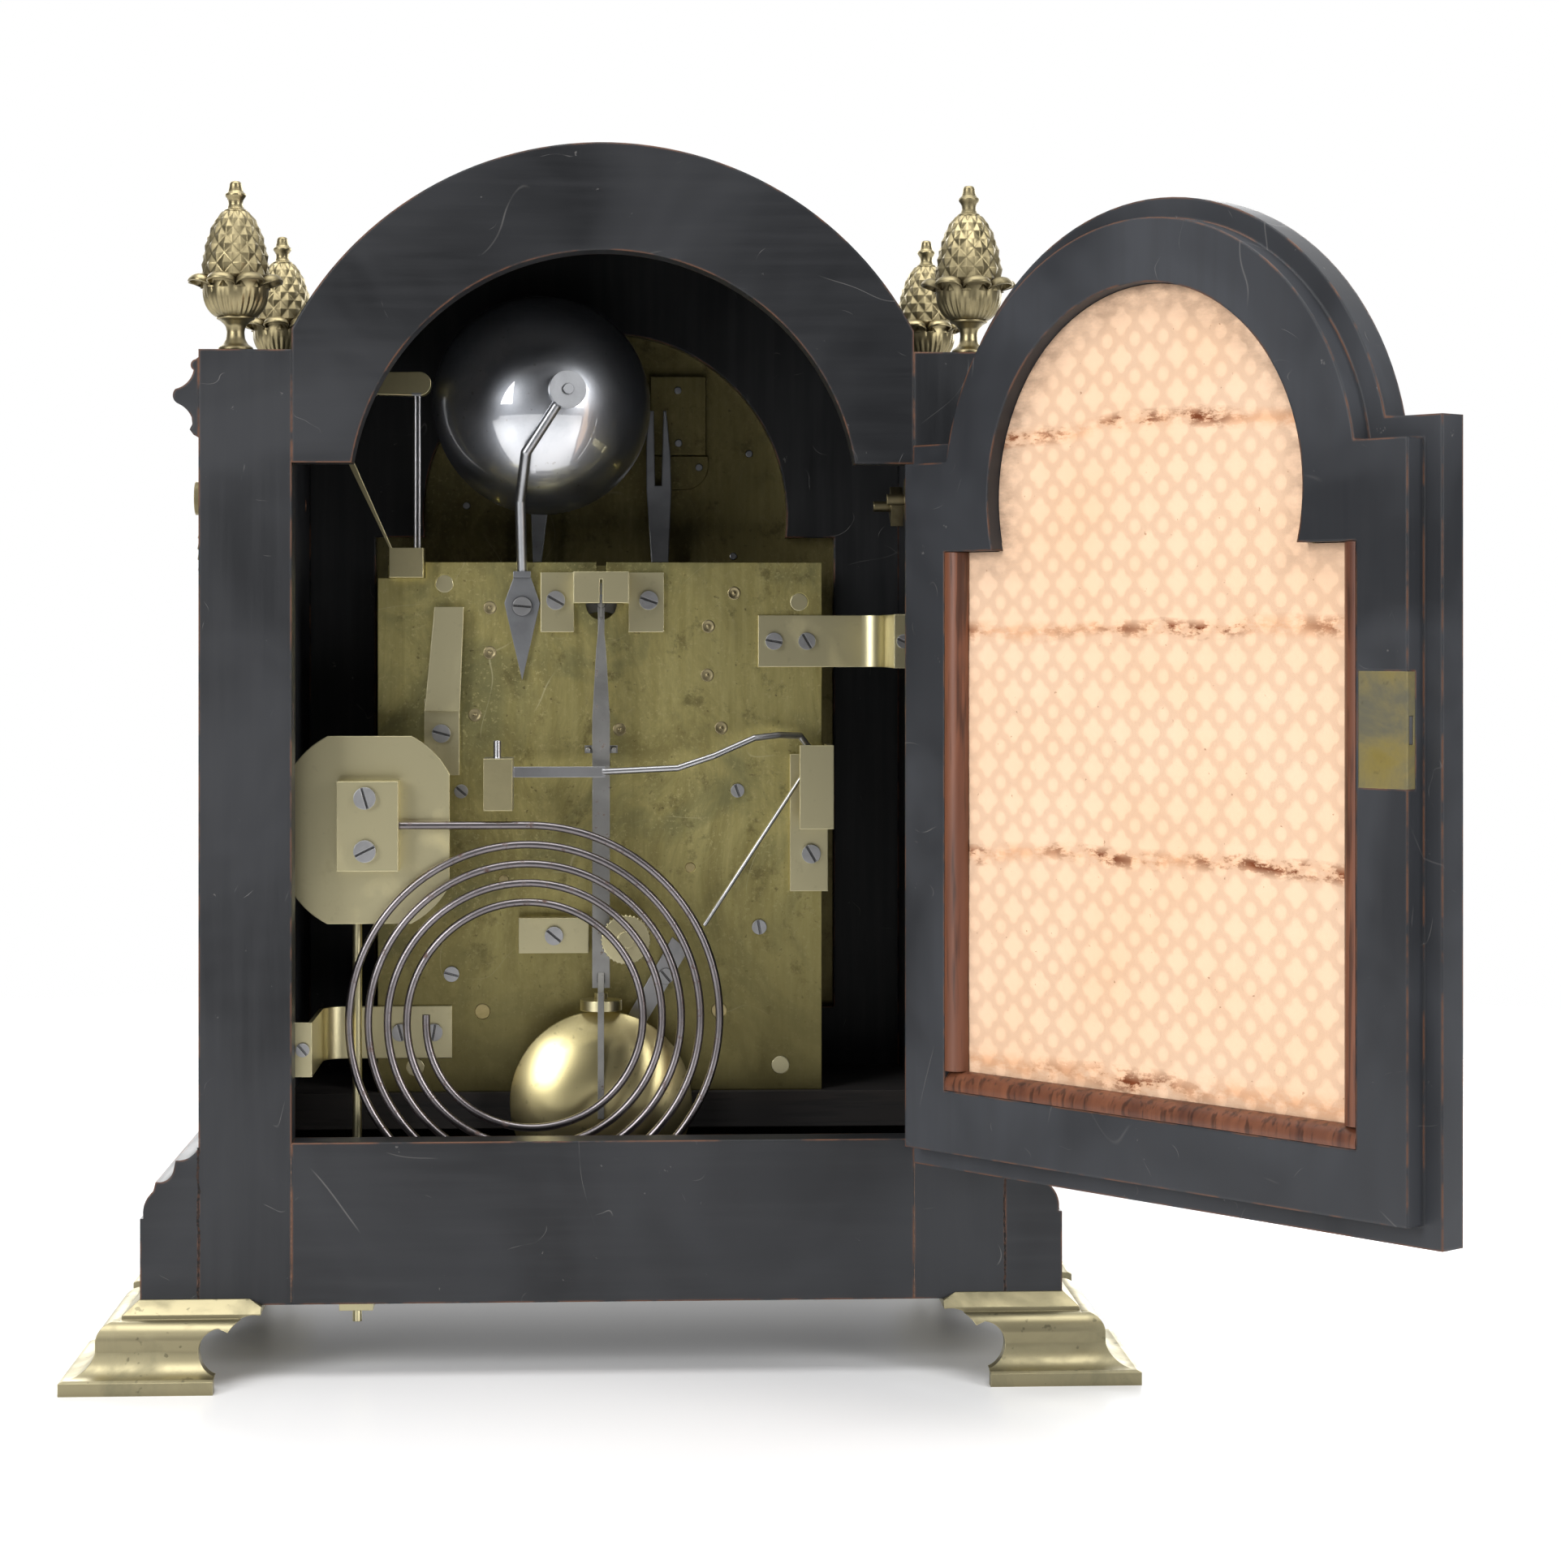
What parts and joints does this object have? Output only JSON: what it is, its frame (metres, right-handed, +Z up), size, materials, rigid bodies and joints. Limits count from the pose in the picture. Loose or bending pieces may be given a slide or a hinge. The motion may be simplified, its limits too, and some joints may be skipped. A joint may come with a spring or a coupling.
{
  "type": "bracket clock",
  "caption": "Ebonised arched-top bracket clock on brass bracket feet, its rear door open on a brass movement with pendulum, bell and coiled wire gong.",
  "frame": {"origin": "on the table, under the middle of the case footprint", "axes": "+Z up; the dial faces +Y and the rear door -Y; +X is to the right when seen from behind"},
  "size_m": [0.4713, 0.4379, 0.4595],
  "materials": {
    "ebonised_wood": "ebonised, waxed, worn at the edges",
    "carcase_wood": "dark stained, unpolished",
    "cast_brass": "cast, chased and aged",
    "plate_brass": "rolled sheet, tarnished",
    "bright_brass": "polished",
    "steel": "polished, lightly rusted",
    "gong_wire": "drawn and blued wire",
    "bell_metal": "polished bell metal",
    "blued_steel": "blued",
    "silvered_brass": "silvered, engraved",
    "silk": "plain woven silk",
    "mahogany": "varnished",
    "glass": "clear"
  },
  "bodies": {
    "case": {"back_plate": "plate_brass", "back_plate_cocks": "bright_brass", "base_board": "carcase_wood", "base_mouldings": "ebonised_wood", "bell": "bell_metal", "bell_stand": "steel", "chapter_ring": "silvered_brass", "cornice_mouldings": "ebonised_wood", "dial_plate": "plate_brass", "dial_surround": "carcase_wood", "door_hinges": "cast_brass", "finials": "cast_brass", "front_left_foot": "cast_brass", "front_plate": "plate_brass", "front_rails": "ebonised_wood", "front_right_foot": "cast_brass", "front_stiles": "ebonised_wood", "gong": "gong_wire", "gong_block": "bright_brass", "gong_stand": "bright_brass", "handle_fittings": "cast_brass", "left_side_panel": "ebonised_wood", "movement_screws": "steel", "movement_straps": "bright_brass", "pillars": "plate_brass", "rear_arch_rail": "ebonised_wood", "rear_bottom_rail": "ebonised_wood", "rear_left_foot": "cast_brass", "rear_left_stile": "ebonised_wood", "rear_right_foot": "cast_brass", "rear_right_stile": "ebonised_wood", "right_side_panel": "ebonised_wood", "seat_board": "carcase_wood", "top_boards": "ebonised_wood"},
    "rear_door": {"rear_door_frame": "ebonised_wood", "rear_door_fret": "bright_brass", "rear_door_silk": "silk", "rear_door_beads": "mahogany", "rear_door_fittings": "cast_brass"},
    "lock_bolt": {"rear_lock_bolt": "steel"},
    "front_door": {"front_door_frame": "ebonised_wood", "front_door_glass": "glass", "front_door_hinges": "cast_brass"},
    "left_bail": {"left_handle": "cast_brass"},
    "right_bail": {"right_handle": "cast_brass"},
    "pendulum": {"pendulum_rod": "steel", "pendulum_bob": "bright_brass"},
    "crutch": {"crutch_and_pallets": "steel"},
    "rating_nut": {"rating_nut": "bright_brass"},
    "holdfast": {"holdfast_screw": "bright_brass"},
    "bell_hammer": {"bell_hammer": "bright_brass"},
    "gong_hammer": {"gong_hammer": "bright_brass"},
    "centre_arbor": {"centre_wheel": "steel", "minute_hand": "blued_steel"},
    "hour_wheel": {"hour_hand": "blued_steel"},
    "going_fusee": {"going_fusee": "plate_brass"},
    "going_barrel": {"going_barrel": "plate_brass"},
    "strike_fusee": {"strike_fusee": "plate_brass"},
    "strike_barrel": {"strike_barrel": "plate_brass"},
    "strike_silent": {"strike_hand": "blued_steel"}
  },
  "joints": [
    {"name": "rear_door_hinge", "type": "hinge", "parent": "case", "child": "rear_door", "pos_m": [0.1196, -0.103, 0.25], "axis": [0, 0, 1], "range_deg": [-129, 41]},
    {"name": "lock_bolt_slide", "type": "slide", "parent": "rear_door", "child": "lock_bolt", "axis": [0.6293, -0.7771, 0], "range_m": [0, 0.003]},
    {"name": "front_door_hinge", "type": "hinge", "parent": "case", "child": "front_door", "pos_m": [-0.1153, 0.0976, 0.25], "axis": [0, 0, 1], "range_deg": [0, 110]},
    {"name": "left_handle_drop", "type": "hinge", "parent": "case", "child": "left_bail", "pos_m": [-0.1552, 0, 0.324], "axis": [0, 1, 0], "range_deg": [0, 90]},
    {"name": "right_handle_drop", "type": "hinge", "parent": "case", "child": "right_bail", "pos_m": [0.1552, 0, 0.324], "axis": [0, -1, 0], "range_deg": [0, 90]},
    {"name": "pendulum_swing", "type": "hinge", "parent": "case", "child": "pendulum", "pos_m": [-0.0014, -0.043, 0.288], "axis": [0, 1, 0], "range_deg": [-2, 2]},
    {"name": "crutch_swing", "type": "hinge", "parent": "case", "child": "crutch", "pos_m": [-0.0014, -0.043, 0.288], "axis": [0, 1, 0], "range_deg": [-2, 2]},
    {"name": "rating_nut_turn", "type": "hinge", "parent": "pendulum", "child": "rating_nut", "pos_m": [-0.0014, -0.043, 0.133], "axis": [0, 0, 1], "continuous": true},
    {"name": "holdfast_turn", "type": "hinge", "parent": "case", "child": "holdfast", "pos_m": [0.0082, -0.049, 0.1584], "axis": [0, 1, 0], "continuous": true},
    {"name": "bell_hammer_lift", "type": "hinge", "parent": "case", "child": "bell_hammer", "pos_m": [-0.077, -0.019, 0.304], "axis": [0, 1, 0], "range_deg": [-8, 1]},
    {"name": "gong_hammer_lift", "type": "hinge", "parent": "case", "child": "gong_hammer", "pos_m": [0.0822, -0.038, 0.228], "axis": [0, 1, 0], "range_deg": [-1, 8]},
    {"name": "minute_hand_turn", "type": "hinge", "parent": "case", "child": "centre_arbor", "pos_m": [0, 0.06, 0.216], "axis": [0, -1, 0], "continuous": true},
    {"name": "hour_hand_turn", "type": "hinge", "parent": "case", "child": "hour_wheel", "pos_m": [0, 0.06, 0.216], "axis": [0, -1, 0], "continuous": true},
    {"name": "going_fusee_turn", "type": "hinge", "parent": "case", "child": "going_fusee", "pos_m": [0.0336, 0, 0.1843], "axis": [0, -1, 0], "continuous": true},
    {"name": "going_barrel_turn", "type": "hinge", "parent": "case", "child": "going_barrel", "pos_m": [0.045, 0, 0.128], "axis": [0, -1, 0], "continuous": true},
    {"name": "strike_fusee_turn", "type": "hinge", "parent": "case", "child": "strike_fusee", "pos_m": [-0.0397, 0, 0.1797], "axis": [0, -1, 0], "continuous": true},
    {"name": "strike_barrel_turn", "type": "hinge", "parent": "case", "child": "strike_barrel", "pos_m": [-0.048, 0, 0.128], "axis": [0, -1, 0], "continuous": true},
    {"name": "strike_silent_turn", "type": "hinge", "parent": "case", "child": "strike_silent", "pos_m": [0, 0.06, 0.352], "axis": [0, -1, 0], "range_deg": [-60, 60]}
  ],
  "couplings": [
    {"joint": "crutch_swing", "follows": "pendulum_swing", "ratio": 1},
    {"joint": "hour_hand_turn", "follows": "minute_hand_turn", "ratio": 0.083333},
    {"joint": "going_fusee_turn", "follows": "minute_hand_turn", "ratio": -0.083333},
    {"joint": "going_barrel_turn", "follows": "minute_hand_turn", "ratio": -0.05},
    {"joint": "strike_barrel_turn", "follows": "strike_fusee_turn", "ratio": 0.6}
  ]
}
